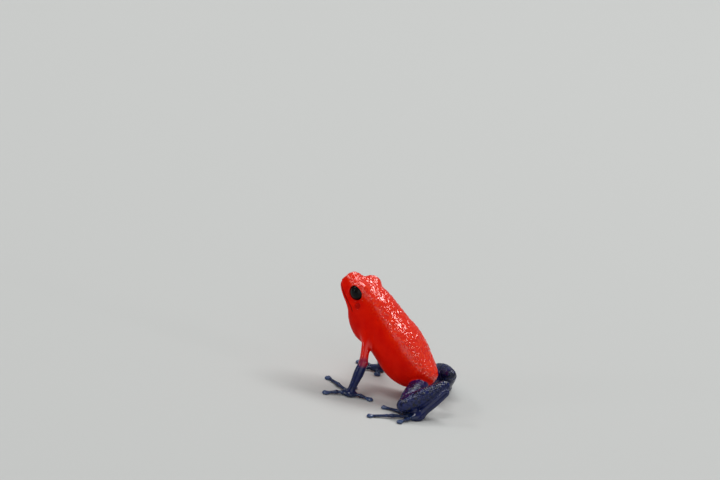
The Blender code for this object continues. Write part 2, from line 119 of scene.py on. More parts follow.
# Limbs: the ends of each part, and for each digit the heading where it leaves its palm or sole
# and the place of its tip on the floor
ARMS = {
    "left": {
        "root": (2.3, -10.9, 10.2),
        "elbow": (5.0, -9.6, 5.0),
        "wrist": (6.5, -10.2, 0.95),
        "palm": (6.6, -10.45, 0.40),
        "palm_heading": -20.0,
        "fingers": [
            (-168.0, (6.0, -7.2)),
            (-88.0, (3.7, -11.2)),
            (-30.0, (3.5, -15.9)),
            (38.0, (8.8, -13.2)),
        ],
    },
    "right": {
        "root": (-2.3, -10.9, 10.2),
        "elbow": (-5.0, -10.9, 5.0),
        "wrist": (-5.5, -11.9, 0.95),
        "palm": (-5.5, -12.3, 0.40),
        "palm_heading": 15.0,
        "fingers": [
            (118.0, (-3.7, -11.4)),
            (55.0, (-3.8, -14.5)),
            (0.0, (-5.9, -15.9)),
            (-62.0, (-8.6, -13.6)),
        ],
    },
}
LEGS = {
    "left": {
        "hip": (1.5, -1.4, 3.1),
        "knee": (7.9, -0.45, 1.95),
        "heel": (2.5, 3.05, 4.6),
        "ankle": (3.1, 3.5, 3.9),
        "sole": (6.9, 1.3, 0.42),
        "sole_heading": 52.0,
        "toes": [
            (-75.0, (4.4, 0.0)),
            (-35.0, (4.9, -2.0)),
            (2.0, (7.0, -4.1)),
            (42.0, (11.5, -4.0)),
            (84.0, (10.1, 0.3)),
        ],
    },
    "right": {
        "hip": (-1.5, -1.7, 3.1),
        "knee": (-8.2, -3.4, 2.1),
        "heel": (-3.0, 1.1, 4.35),
        "ankle": (-3.9, 0.95, 3.75),
        "sole": (-7.0, -1.3, 0.42),
        "sole_heading": -52.0,
        "toes": [
            (75.0, (-4.5, -2.6)),
            (35.0, (-5.0, -4.6)),
            (-2.0, (-7.1, -6.7)),
            (-42.0, (-11.6, -6.5)),
            (-84.0, (-10.2, -2.3)),
        ],
    },
}

# Radii from one end of each part to the other, and half-sizes of palms and soles
UPPER_ARM_RADII = (0.95, 0.90, 0.74, 0.66, 0.64, 0.66)
FOREARM_RADII = (0.66, 0.76, 0.76, 0.68, 0.60, 0.56)
THIGH_RADII = (1.15, 1.36, 1.44, 1.38, 1.22, 1.04)
SHANK_RADII = (1.06, 1.20, 1.24, 1.16, 0.98, 0.84)
TARSUS_RADII = (0.72, 0.80, 0.82, 0.80, 0.74, 0.62)
INSTEP_RADII = (0.55, 0.50, 0.55)
INSTEP_ON_TARSUS = 0.92
INSTEP_ON_SHANK = 0.12
PALM_SIZE = (0.95, 1.15, 0.52)
SOLE_SIZE = (0.85, 1.20, 0.52)
FINGER_HALF_WIDTH = 0.27
TOE_HALF_WIDTH = 0.26
FINGER_DISC = 0.54
TOE_DISC = 0.46

# Digits: the shaft's start, knuckle and tip, and its half-widths as shares of the digit's own
DIGIT_START = 0.55
DIGIT_START_HEIGHT = 0.40
DIGIT_TIP_HEIGHT = 0.22
KNUCKLE_SHARE = 0.48
KNUCKLE_RISE = 0.10
DIGIT_ROOT_WIDTH = 1.25
KNUCKLE_WIDTH = 1.08
WAIST_WIDTH = 0.86
NECK_WIDTH = 0.92
END_WIDTH = 0.95

# The disc at the end of a digit and the two scutes on it: heights are in millimetres, and other
# sizes are shares of the disc's half-width
DISC_HEIGHT = 0.20
DISC_HALF_HEIGHT = 0.25
DISC_LENGTH = 1.02
SCUTE_ASIDE = 0.34
SCUTE_AHEAD = 0.25
SCUTE_RISE = 0.19
SCUTE_WIDTH = 0.28
SCUTE_LENGTH = 0.42
SCUTE_HALF_HEIGHT = 0.09

# How softly each form joins the rest of the skin, in millimetres
BLENDS = {
    "bowl": 0.3,
    "brow": 0.6,
    "lid": 0.2,
    "socket": 0.12,
    "lid_edge": 0.08,
    "upper_arm": 0.8,
    "forearm": 0.3,
    "palm": 0.45,
    "thigh": 0.45,
    "shank": 0.22,
    "tarsus": 0.20,
    "instep": 0.30,
    "sole": 0.80,
    "digit_root": 0.35,
    "digit_end": 0.12,
    "disc": 0.16,
    "scute": 0.03,
}

# The grid that the skin is read from: its cell, and margins round the forms, in millimetres
CELL = 0.06
MARGIN = 0.5
EYE_MARGIN = 5.0
SOCKET_MARGIN = 2.2
NEAR_MARGIN = 1.5
FAR = 9.0

# Spare cells at the grid's sides and under the floor, and how far a slope is read, in cells
SIDE_CELLS = 2.0
FLOOR_CELLS = 3.5
SLOPE_REACH = 0.75

# How many parts the body's field is worked out in, and the slopes it is evened out between
BODY_PARTS = 16
STEEPNESS_RANGE = (0.5, 4.0)

# Evening out the mesh: rounds, share of the way to the neighbours' middle, least squared slope
# and longest move, in cells
RELAX_ROUNDS = 4
RELAX_PULL = 0.6
LEAST_SLOPE = 0.25
LONGEST_MOVE = 0.5
TINY = 1e-9
TINY_EGG = 1e-6

# Camera of the photograph
CAMERA_AZIMUTH = math.radians(117.45)
CAMERA_ELEVATION = math.radians(19.1)
CAMERA_ROLL = math.radians(8.0)
LENS_MM = 150.0
SENSOR_MM = 36.0
FRAME_PX = (720.0, 480.0)
VENT_MM = np.array([0.0, 0.0, 3.76])
VENT_PX = (434.0, 381.0)
PX_PER_MM = 6.7


def body_direction(steps):
    x, behind, height = steps
    return SIDEWAYS * x + BACKWARD * behind + UPWARD * height


def body_place(steps):
    """From x, distance behind the snout and height above the line to the frog's own axes."""
    return SNOUT + body_direction(steps)


def box_middle(corners):
    low, high = (np.array(corner) for corner in corners)
    return (low + high) / 2.0


OFFSET = box_middle(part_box("eye_left")) - body_place(EYE_CENTRE) * MM


def in_frame(points):
    """From the frog's own millimetres to the frame's metres."""
    return np.asarray(points) * MM + OFFSET


def unit(vector):
    return vector / np.linalg.norm(vector)


def smooth_step(low, high, value):
    """0 below low and 1 above high, with a soft step between."""
    share = np.clip((value - low) / (high - low), 0.0, 1.0)
    return share * share * (3.0 - 2.0 * share)


def smooth_fade(low, high, value):
    """1 below low and 0 above high, with a soft step between."""
    return 1.0 - smooth_step(low, high, value)


def hump(value, centre, width):
    """A soft bump of height 1, round a centre."""
    return np.exp(-((value - centre) / width) ** 2)


def ridge(value, height, centre, width):
    """A soft ridge, or a groove where the height is below 0."""
    return height * hump(value, centre, width)


def smooth_min(first, second, blend):
    """The lower of two fields, with the crease between them rounded off."""
    near = np.maximum(blend - np.abs(first - second), 0.0) / blend
    return np.minimum(first, second) - near * near * blend * 0.25


def smooth_max(first, second, blend):
    return -smooth_min(-first, -second, blend)


def through_rows(rows, position):
    """A smooth curve through rows, read at places counted in rows."""
    last = len(rows) - 1
    start = np.minimum(position.astype(int), last - 1)
    t = position - start
    if rows.ndim > 1:
        t = t[:, None]
    before = rows[np.maximum(start - 1, 0)]
    first = rows[start]
    second = rows[start + 1]
    after = rows[np.minimum(start + 2, last)]
    return 0.5 * (
        2.0 * first
        + (second - before) * t
        + (2.0 * before - 5.0 * first + 4.0 * second - after) * t ** 2
        + (3.0 * first - before - 3.0 * second + after) * t ** 3
    )


# Body field


def station_curves(count=1200):
    """The stations as smooth curves, read at many places along the body."""
    rows = np.array(BODY_STATIONS)
    curve = through_rows(rows, np.linspace(0.0, len(rows) - 1, count))
    curve[:, 0] = np.maximum.accumulate(curve[:, 0])
    return curve.T


STATION_CURVES = station_curves()


def body_coordinates(points):
    """x, distance behind the snout and height above the snout to vent line."""
    away = points - SNOUT
    return away[..., 0], away @ BACKWARD, away @ UPWARD


def body_field(points):
    """Roughly how far each point is outside head and torso, and below 0 inside them."""
    x, behind, height = body_coordinates(points)
    places, widths, tops, middles, bottoms = STATION_CURVES
    mouth = np.interp(behind, places, middles)
    rise = smooth_step(mouth, mouth + OVERHANG_RISE, height)
    fade = smooth_fade(*OVERHANG_FADE, behind)
    station = behind + OVERHANG * rise * fade
    width = np.maximum(np.interp(station, places, widths), LEAST_REACH)
    middle = np.interp(station, places, middles)
    above = np.maximum(np.interp(station, places, tops) - middle, LEAST_REACH)
    below = np.maximum(middle - np.interp(station, places, bottoms), LEAST_REACH)
    upper = height >= middle
    reach = np.where(upper, above, below)
    power = np.where(upper, BACK_SQUARENESS, BELLY_SQUARENESS)
    ratio = np.abs(x / width) ** power + np.abs((height - middle) / reach) ** power
    ratio = ratio ** (1.0 / power)
    field = (ratio - 1.0) * np.minimum(width, reach)
    outside = np.maximum(places[0] - station, station - places[-1])
    return np.where(outside > 0.0, np.maximum(field, 0.0) + outside, field)


# Limb fields


class Form:
    """One form of the skin: its kind, field and box, and how softly it joins the rest."""

    def __init__(self, kind, field, low, high, blend):
        self.kind = kind
        self.field = field
        self.low = np.array(low)
        self.high = np.array(high)
        self.blend = blend


def limb_form(kind, start, end, radii, blend):
    """A round limb from start to end, with radii evenly spaced along it."""
    start = np.array(start)
    end = np.array(end)
    radii = np.array(radii)
    line = end - start
    length_squared = float(line @ line)
    steps = len(radii) - 1

    def field(points):
        away = points - start
        share = np.clip((away @ line) / length_squared, 0.0, 1.0)
        gap = np.linalg.norm(away - share[..., None] * line, axis=-1)
        radius = through_rows(radii, (share * steps).ravel()).reshape(share.shape)
        return gap - radius

    most = radii.max()
    low = np.minimum(start, end) - most
    high = np.maximum(start, end) + most
    return Form(kind, field, low, high, blend)


def heading_vector(degrees):
    """A direction on the floor, turned from straight ahead towards +X."""
    angle = math.radians(degrees)
    return np.array([math.sin(angle), -math.cos(angle), 0.0])


def egg_form(kind, centre, axes, sizes, blend):
    """An egg with the given axes and half-sizes."""
    centre = np.array(centre)
    turn = np.array(axes).T
    sizes = np.array(sizes)

    def field(points):
        local = (points - centre) @ turn
        first = np.linalg.norm(local / sizes, axis=-1)
        second = np.maximum(np.linalg.norm(local / sizes ** 2, axis=-1), TINY_EGG)
        return first * (first - 1.0) / second

    most = sizes.max()
    return Form(kind, field, centre - most, centre + most, blend)


def level_axes(along):
    across = np.array([-along[1], along[0], 0.0])
    return across, along, np.array([0.0, 0.0, 1.0])


def digit_forms(pad_centre, root_heading, tip, half_width, disc):
    """A finger or toe: a slim jointed shaft and the wide flat disc with its two scutes."""
    root = np.array(pad_centre) + heading_vector(root_heading) * DIGIT_START
    root[2] = DIGIT_START_HEIGHT
    tip_point = np.array([tip[0], tip[1], DIGIT_TIP_HEIGHT])
    reach = tip_point - root
    along = unit(reach * (1.0, 1.0, 0.0))
    knuckle = root + reach * KNUCKLE_SHARE + (0.0, 0.0, KNUCKLE_RISE)
    waist = half_width * WAIST_WIDTH
    joint = half_width * KNUCKLE_WIDTH
    root_radii = (half_width * DIGIT_ROOT_WIDTH, half_width, waist, joint)
    end_radii = (joint, waist, waist * NECK_WIDTH, waist * END_WIDTH)
    axes = level_axes(along)
    centre = np.array([tip[0], tip[1], DISC_HEIGHT])
    disc_sizes = (disc, disc * DISC_LENGTH, DISC_HALF_HEIGHT)
    scute_sizes = (disc * SCUTE_WIDTH, disc * SCUTE_LENGTH, SCUTE_HALF_HEIGHT)
    forms = [
        limb_form("digit", root, knuckle, root_radii, BLENDS["digit_root"]),
        limb_form("digit", knuckle, tip_point, end_radii, BLENDS["digit_end"]),
        egg_form("disc", centre, axes, disc_sizes, BLENDS["disc"]),
    ]
    for side in (-1.0, 1.0):
        aside = axes[0] * side * disc * SCUTE_ASIDE
        place = centre + aside + along * disc * SCUTE_AHEAD + (0.0, 0.0, SCUTE_RISE)
        forms.append(egg_form("disc", place, axes, scute_sizes, BLENDS["scute"]))
    return forms


def arm_forms(arm):
    root, elbow, wrist = arm["root"], arm["elbow"], arm["wrist"]
    axes = level_axes(heading_vector(arm["palm_heading"]))
    forms = [
        limb_form("upper_arm", root, elbow, UPPER_ARM_RADII, BLENDS["upper_arm"]),
        limb_form("forearm", elbow, wrist, FOREARM_RADII, BLENDS["forearm"]),
        egg_form("pad", arm["palm"], axes, PALM_SIZE, BLENDS["palm"]),
    ]
    for heading, tip in arm["fingers"]:
        forms += digit_forms(arm["palm"], heading, tip, FINGER_HALF_WIDTH, FINGER_DISC)
    return forms


def instep_ends(leg):
    """The folded skin over the foot, from low on the tarsus up to the shank that rests on it."""
    ankle, sole, knee, heel = (np.array(leg[name]) for name in ("ankle", "sole", "knee", "heel"))
    on_tarsus = ankle + INSTEP_ON_TARSUS * (sole - ankle)
    on_shank = knee + INSTEP_ON_SHANK * (heel - knee)
    return on_tarsus, on_shank


def leg_forms(leg):
    axes = level_axes(heading_vector(leg["sole_heading"]))
    forms = [
        limb_form("leg", leg["hip"], leg["knee"], THIGH_RADII, BLENDS["thigh"]),
        limb_form("leg", leg["knee"], leg["heel"], SHANK_RADII, BLENDS["shank"]),
        limb_form("tarsus", leg["ankle"], leg["sole"], TARSUS_RADII, BLENDS["tarsus"]),
        limb_form("tarsus", *instep_ends(leg), INSTEP_RADII, BLENDS["instep"]),
        egg_form("pad", leg["sole"], axes, SOLE_SIZE, BLENDS["sole"]),
    ]
    for heading, tip in leg["toes"]:
        forms += digit_forms(leg["sole"], heading, tip, TOE_HALF_WIDTH, TOE_DISC)
    return forms


def limb_forms():
    forms = []
    for arm in ARMS.values():
        forms += arm_forms(arm)
    for leg in LEGS.values():
        forms += leg_forms(leg)
    return forms


# Field on a grid


class Grid:
    """A box of evenly spaced points and the field's value at each."""

    def __init__(self, low, high, step):
        self.low = np.array(low)
        self.step = step
        self.counts = np.ceil((np.array(high) - self.low) / step).astype(int) + 1
        self.values = np.full(self.counts, FAR, dtype=np.float32)

    def window(self, low, high):
        """The part of the grid that a box covers, as slices and points."""
        first = np.clip(np.floor((np.array(low) - self.low) / self.step).astype(int), 0, None)
        last = np.ceil((np.array(high) - self.low) / self.step).astype(int) + 1
        last = np.minimum(last, self.counts)
        slices = tuple(slice(a, b) for a, b in zip(first, last))
        axes = [self.low[i] + self.step * np.arange(first[i], last[i]) for i in range(3)]
        points = np.stack(np.meshgrid(*axes, indexing="ij"), axis=-1).astype(np.float32)
        return slices, points

    def sample(self, points, values=None):
        """The field at any points, from the eight grid points round each."""
        values = self.values if values is None else values
        place = (points - self.low) / self.step
        base = np.clip(np.floor(place).astype(int), 0, self.counts - 2)
        share = np.clip(place - base, 0.0, 1.0)
        total = np.zeros(len(points))
        for corner in range(8):
            offset = np.array([corner & 1, corner >> 1 & 1, corner >> 2 & 1])
            weight = np.prod(np.where(offset, share, 1.0 - share), axis=1)
            total += weight * values[tuple((base + offset).T)]
        return total

    def gradient(self, points):
        reach = self.step * SLOPE_REACH
        parts = []
        for axis in range(3):
            shift = np.zeros(3)
            shift[axis] = reach
            parts.append(self.sample(points + shift) - self.sample(points - shift))
        return np.stack(parts, axis=1) / (2.0 * reach)


class Eye:
    """One eye's place: its centre, where it looks, and the long way of its opening."""

    def __init__(self, side):
        mirror = np.array([1.0 if side == "left" else -1.0, 1.0, 1.0])
        self.name = "eye_" + side
        self.centre = body_place(EYE_CENTRE * mirror)
        self.brow = body_place(BROW_CENTRE * mirror)
        self.aim = unit(body_direction(EYE_AIM * mirror))
        self.along = unit(BACKWARD - self.aim * (BACKWARD @ self.aim))
        self.over = np.cross(self.aim, self.along)
        if self.over[2] < 0.0:
            self.over = -self.over

    def seen(self, points):
        """Distance from the centre, how far ahead, and how far from the opening's middle."""
        away = points - self.centre
        beside = np.hypot((away @ self.along) / LID_LENGTH, (away @ self.over) / LID_HEIGHT)
        return np.linalg.norm(away, axis=-1), away @ self.aim, beside


EYES = [Eye("left"), Eye("right")]


def fill_body(grid):
    """Writes body and lids into the grid."""
    slices, points = grid.window(BODY_LOW, BODY_HIGH)
    parts = [body_field(part).astype(np.float32) for part in np.array_split(points, BODY_PARTS)]
    body = np.concatenate(parts)
    slopes = np.gradient(body, grid.step)
    steepness = np.sqrt(sum(slope * slope for slope in slopes))
    body /= np.clip(steepness, *STEEPNESS_RANGE)
    grid.values[slices] = body
    for eye in EYES:
        slices, points = grid.window(eye.centre - EYE_MARGIN, eye.centre + EYE_MARGIN)
        bowl = np.linalg.norm(points - eye.centre - eye.aim * BOWL_AWAY, axis=-1) - BOWL_RADIUS
        brow = np.linalg.norm(points - eye.brow, axis=-1) - BROW_RADIUS
        lid = np.linalg.norm(points - eye.centre, axis=-1) - LID_RADIUS
        body = smooth_max(grid.values[slices], -bowl, BLENDS["bowl"])
        body = smooth_min(body, brow, BLENDS["brow"])
        grid.values[slices] = smooth_min(body, lid, BLENDS["lid"])


def cut_sockets(grid):
    """Opens the lids and hollows out room for each eye."""
    for eye in EYES:
        slices, points = grid.window(eye.centre - SOCKET_MARGIN, eye.centre + SOCKET_MARGIN)
        far, ahead, beside = eye.seen(points)
        flare = LID_FLARE * np.maximum(ahead - LID_FLARE_START, 0.0)
        opening = np.maximum((beside - 1.0) * LID_HEIGHT - flare, -ahead)
        socket = smooth_min(far - EYE_RADIUS - SOCKET_GAP, opening, BLENDS["socket"])
        grid.values[slices] = smooth_max(grid.values[slices], -socket, BLENDS["lid_edge"])


def add_forms(grid, forms):
    for form in forms:
        slices, points = grid.window(form.low - MARGIN, form.high + MARGIN)
        grid.values[slices] = smooth_min(grid.values[slices], form.field(points), form.blend)


def cut_at_floor(grid):
    heights = grid.low[2] + grid.step * np.arange(grid.counts[2])
    grid.values = np.maximum(grid.values, -heights.astype(np.float32))


# Mesh from the grid


def surface_of(grid):
    """Points and quads of the surface where the field is zero."""
    values = grid.values
    inside = values < 0.0
    crossings = []
    quads = []
    for axis in range(3):
        first = [slice(None)] * 3
        second = [slice(None)] * 3
        first[axis] = slice(0, -1)
        second[axis] = slice(1, None)
        index = np.argwhere(inside[tuple(first)] != inside[tuple(second)])
        beyond = index.copy()
        beyond[:, axis] += 1
        start = values[tuple(index.T)].astype(float)
        end = values[tuple(beyond.T)].astype(float)
        point = index.astype(float)
        point[:, axis] += start / (start - end)
        ring = []
        for across, over in ((-1, -1), (0, -1), (0, 0), (-1, 0)):
            cell = index.copy()
            cell[:, (axis + 1) % 3] += across
            cell[:, (axis + 2) % 3] += over
            ring.append(np.ravel_multi_index(tuple(cell.T), grid.counts))
        ring = np.stack(ring, axis=1)
        ring[start > 0.0] = ring[start > 0.0][:, ::-1]
        quads.append(ring)
        crossings.append(np.repeat(point, 4, axis=0))
    quads = np.concatenate(quads)
    crossings = np.concatenate(crossings)
    where = np.unique(quads.ravel(), return_inverse=True)[1]
    share = np.bincount(where)
    points = [np.bincount(where, weights=crossings[:, axis]) / share for axis in range(3)]
    return grid.low + np.stack(points, axis=1) * grid.step, where.reshape(quads.shape)


def edges_of(quads):
    pairs = np.concatenate([quads[:, [i, (i + 1) % 4]] for i in range(4)])
    pairs.sort(axis=1)
    return np.unique(pairs, axis=0)


def relax(points, quads, grid):
    """Evens out the mesh and settles it back on the surface."""
    edges = edges_of(quads)
    ends = np.concatenate([edges[:, 0], edges[:, 1]])
    others = np.concatenate([edges[:, 1], edges[:, 0]])
    degree = np.bincount(ends)
    for _ in range(RELAX_ROUNDS):
        sums = [np.bincount(ends, weights=points[others, axis]) for axis in range(3)]
        points = points + RELAX_PULL * (np.stack(sums, axis=1) / degree[:, None] - points)
        slope = grid.gradient(points)
        steepness = np.maximum((slope * slope).sum(axis=1), LEAST_SLOPE)
        move = slope * (grid.sample(points) / steepness)[:, None]
        length = np.maximum(np.linalg.norm(move, axis=1), TINY)[:, None]
        points = points - move * np.minimum(1.0, grid.step * LONGEST_MOVE / length)
    points[:, 2] = np.maximum(points[:, 2], 0.0)
    return points


def normals_of(points, quads):
    corners = points[quads]
    facing = np.cross(corners[:, 2] - corners[:, 0], corners[:, 3] - corners[:, 1])
    total = np.zeros_like(points)
    for axis in range(3):
        for corner in range(4):
            total[:, axis] += np.bincount(
                quads[:, corner], weights=facing[:, axis], minlength=len(points)
            )
    return total / np.maximum(np.linalg.norm(total, axis=1), TINY)[:, None]


# Relief and marks of the skin

# Ridges and grooves of the face: height, middle and width, across the mouth or out from a centre
MOUTH_GROOVE = (-0.10, 0.0, 0.075)
UPPER_LIP = (0.035, 0.22, 0.13)
LOWER_LIP = (0.030, -0.20, 0.12)
NOSTRIL_PIT = (-0.13, 0.0, 0.10)
NOSTRIL_RIM = (0.025, 0.20, 0.08)
EAR_RIM = (0.03, EAR_RADIUS, 0.09)

# The mouth's line: where it fades out at its corner, how far it turns down there, how low on the
# head it may lie, and how wide the painted shade in mouth and nostrils is
MOUTH_FADE = (MOUTH_CORNER - 0.3, MOUTH_CORNER + 0.15)
MOUTH_TURN = 0.30
MOUTH_TURN_RANGE = (4.4, 5.6)
MOUTH_LOWEST = 9.0
MOUTH_SHADE_WIDTH = 0.07
NOSTRIL_SHADE_WIDTH = 0.09

# Ears: depth of the sunken disc, and where disc and painted shade end, as shares of the radius
EAR_DEPTH = 0.05
EAR_DISC = (0.55, 1.0)
EAR_SHADE_PATCH = (0.75, 1.05)

# Lids: the rim and the crease round it, with places as shares of the opening's half-width
LID_REACH = 2.4
LID_START = (EYE_RADIUS + 0.04, EYE_RADIUS + 0.16)
LID_RIM_HEIGHT = 0.03
LID_RIM_PLACE = 1.14
LID_CREASE_DEPTH = 0.05
LID_CREASE_PLACE = 1.45
LID_FOLD_WIDTH = 0.09
LID_UPPER_RANGE = (-0.4, 0.6)
# Painted shade round the edge of the lid's opening, as shares of its half-width
LID_SHADE_RANGE = (1.0, 1.07)

# Where the skin stops being body or leg, how high up the flank the back's grain starts, and
# where the rump's folds start
BODY_RANGE = (0.1, 0.5)
LEG_RANGE = (0.0, 0.3)
BACK_RANGE = (0.40, 0.88)
BACK_RAGGED = 0.12
RUMP_RANGE = (15.5, 18.5)

# Grain: grains to a millimetre, the seed that keeps them in the same places each time, and the
# heights of grains and of soft waves on each part
GRAIN_SEED = 1
GRAIN_STRETCH = 0.75
BACK_GRAIN = 1.6
FINE_GRAIN = 3.1
GRAIN_BEND = 0.45
GRAIN_CREASE = 0.55
BACK_RELIEF = (0.065, 0.03)
FLANK_RELIEF = (0.010, 0.010)
LEG_RELIEF = (0.055, 0.020)
RUMP_FOLD = 0.05
FOLD_STRETCH = (1.0, 0.55, 0.55)

# Soft noise: cells to a millimetre, and a shift that keeps the patterns apart
BACK_NOISE = (0.5, 0.0)
WAVE_NOISE = (1.1, 7.0)
FOLD_NOISE = (1.6, 3.0)
SEAM_NOISE = (1.3, 11.0)

# The seam between red and blue skin: its raggedness, and its width and shift on arms and legs
SEAM_RAGGED = 0.14
ARMS_BEHIND = -6.0
ARM_SEAM = (0.50, 0.10)
LEG_SEAM = (0.16, 0.02)

# Marks of the limbs, by distance from a form, or by height for the arm's wet top
PALM_SHIFT = 0.35
PALE_RANGE = (-0.3, 0.6)
TIP_RANGE = (0.0, 0.25)
FLUSH_RANGE = (0.2, 1.8)
LIMB_RANGE = (0.2, 0.6)
WET_ARM = 0.8
WET_ARM_FADE = (7.0, 8.8)

# Height above the floor over which the relief comes in
RELIEF_START = (0.03, 0.30)


def nearness(points, body_distance, forms):
    """How far each point is from each kind of form."""
    kinds = ("upper_arm", "forearm", "leg", "tarsus", "pad", "digit", "disc")
    near = {kind: np.full(len(points), FAR) for kind in kinds}
    near["body"] = body_distance
    for form in forms:
        above_low = points > form.low - NEAR_MARGIN
        below_high = points < form.high + NEAR_MARGIN
        inside = np.all(above_low & below_high, axis=1)
        value = form.field(points[inside])
        near[form.kind][inside] = np.minimum(near[form.kind][inside], value)
    return near


def noise_at(points, scale, shift):
    """Soft noise from about -1 to 1, with the given number of cells to a millimetre."""
    return np.array([noise.noise(Vector(point)) for point in points * scale + shift])


def domes_at(points, scale):
    """Rounded grains packed side by side, from 0 in the creases to 1 on top."""
    noise.seed_set(GRAIN_SEED)
    grains = []
    for point in points * scale:
        bent = Vector(point)
        bent += GRAIN_BEND * noise.noise_vector(bent)
        distances = noise.voronoi(bent)[0]
        grains.append(distances[1] - distances[0])
    return smooth_step(0.0, GRAIN_CREASE, np.array(grains))


def grainy(grains, waves, relief):
    """Grains and soft waves together, at the heights of one part of the skin."""
    grain_height, wave_height = relief
    return grain_height * (grains - 0.5) + wave_height * waves


def distance_from(points, place):
    """How far each point is from the one nearest to a place."""
    nearest = points[np.argmin(np.linalg.norm(points - place, axis=1))]
    return np.linalg.norm(points - nearest, axis=1)


def mouth_relief(points, marks):
    """The mouth's groove with a lip above and below it, and painted shade along the groove."""
    behind, height = body_coordinates(points)[1:]
    places, middles = STATION_CURVES[0], STATION_CURVES[3]
    head = smooth_fade(*MOUTH_FADE, behind) * (points[:, 2] > MOUTH_LOWEST)
    turn = MOUTH_TURN * smooth_step(*MOUTH_TURN_RANGE, behind)
    above = height - np.interp(behind, places, middles) + turn
    lift = ridge(above, *MOUTH_GROOVE) + ridge(above, *UPPER_LIP)
    # Painted shade along the mouth's groove
    marks["dark"] = hump(above, 0.0, MOUTH_SHADE_WIDTH) * head
    return (lift + ridge(above, *LOWER_LIP)) * head


def face_relief(points, marks):
    """Mouth, lips, lids, nostrils and ears: how far they push the skin out or in, and their
    painted shade.
    """
    lift = mouth_relief(points, marks)
    for side in (-1.0, 1.0):
        mirror = np.array([side, 1.0, 1.0])
        away = distance_from(points, body_place(NOSTRIL_CENTRE * mirror))
        lift += ridge(away, *NOSTRIL_PIT) + ridge(away, *NOSTRIL_RIM)
        # Painted shade in the nostril
        marks["dark"] = np.maximum(marks["dark"], hump(away, 0.0, NOSTRIL_SHADE_WIDTH))
        away = distance_from(points, body_place(EAR_CENTRE * mirror))
        lift -= EAR_DEPTH * smooth_fade(*EAR_DISC, away / EAR_RADIUS)
        lift += ridge(away, *EAR_RIM)
        # Painted shade in the ear's dish
        marks["ear"] = np.maximum(marks["ear"], smooth_fade(*EAR_SHADE_PATCH, away / EAR_RADIUS))

    for eye in EYES:
        far, ahead, beside = eye.seen(points)
        ahead = (ahead > 0.0) & (far < LID_REACH)
        outer = smooth_step(*LID_START, far) * ahead
        upper = smooth_step(*LID_UPPER_RANGE, (points - eye.centre) @ eye.over)
        rim = LID_RIM_HEIGHT * hump(beside, LID_RIM_PLACE, LID_FOLD_WIDTH)
        crease = LID_CREASE_DEPTH * upper * hump(beside, LID_CREASE_PLACE, LID_FOLD_WIDTH)
        lift += outer * (rim - crease)
        # Painted shade round the edge of the lid's opening
        marks["dark"] = np.maximum(marks["dark"], smooth_fade(*LID_SHADE_RANGE, beside) * ahead)
    return lift


def skin_relief(points, near, marks):
    """Grain, folds and waves: how far they push the skin out or in, and where the back is."""
    x, behind, height = body_coordinates(points)
    along_body = np.stack([x, behind * GRAIN_STRETCH, height], axis=1)
    places, _, tops, middles, _ = STATION_CURVES
    middle = np.interp(behind, places, middles)
    rise = (height - middle) / (np.interp(behind, places, tops) - middle)
    on_body = smooth_fade(*BODY_RANGE, near["body"])
    on_leg = smooth_fade(*LEG_RANGE, near["leg"]) * (1.0 - on_body)
    dorsal = smooth_step(*BACK_RANGE, rise + BACK_RAGGED * noise_at(points, *BACK_NOISE))
    marks["dorsal"] = dorsal * on_body
    grain = domes_at(along_body, BACK_GRAIN)
    fine = domes_at(points, FINE_GRAIN)
    wave = noise_at(points, *WAVE_NOISE)
    folds = noise_at(points * FOLD_STRETCH, *FOLD_NOISE)
    rump = smooth_step(*RUMP_RANGE, behind) * on_body
    lift = on_body * dorsal * grainy(grain, wave, BACK_RELIEF)
    lift += on_body * (1.0 - dorsal) * grainy(fine, wave, FLANK_RELIEF)
    lift += rump * RUMP_FOLD * folds
    lift += on_leg * grainy(fine, wave, LEG_RELIEF)
    return lift


def color_marks(points, near, marks):
    """Where the skin is blue, pale, flushed with red or even, and where the arm is wet."""
    red = np.minimum(near["body"], near["upper_arm"])
    blue_kinds = ("forearm", "leg", "tarsus", "pad", "digit", "disc")
    blue = np.minimum.reduce([near[kind] for kind in blue_kinds])
    ragged = SEAM_RAGGED * noise_at(points, *SEAM_NOISE)
    on_arms = points[:, 1] < ARMS_BEHIND
    width = np.where(on_arms, ARM_SEAM[0], LEG_SEAM[0])
    shift = np.where(on_arms, ARM_SEAM[1], LEG_SEAM[1])
    share = np.clip((red - blue + ragged + shift) / width, -1.0, 1.0)
    marks["blue"] = smooth_step(-1.0, 1.0, share)
    hand = np.minimum.reduce([near["pad"] + PALM_SHIFT, near["digit"], near["disc"]])
    limb = np.minimum.reduce([near["forearm"], near["leg"], near["tarsus"]])
    marks["pale"] = smooth_step(*PALE_RANGE, limb - hand)
    marks["tip"] = smooth_fade(*TIP_RANGE, near["disc"])
    marks["flush"] = smooth_fade(*FLUSH_RANGE, near["body"]) * marks["blue"]
    wet = WET_ARM * smooth_fade(*LIMB_RANGE, near["upper_arm"])
    marks["arm"] = wet * smooth_fade(*WET_ARM_FADE, points[:, 2])
    marks["smooth"] = smooth_fade(*LIMB_RANGE, np.minimum(near["forearm"], near["tarsus"]))


def add_object(name, data):
    thing = bpy.data.objects.new(name, data)
    bpy.context.scene.collection.objects.link(thing)
    return thing


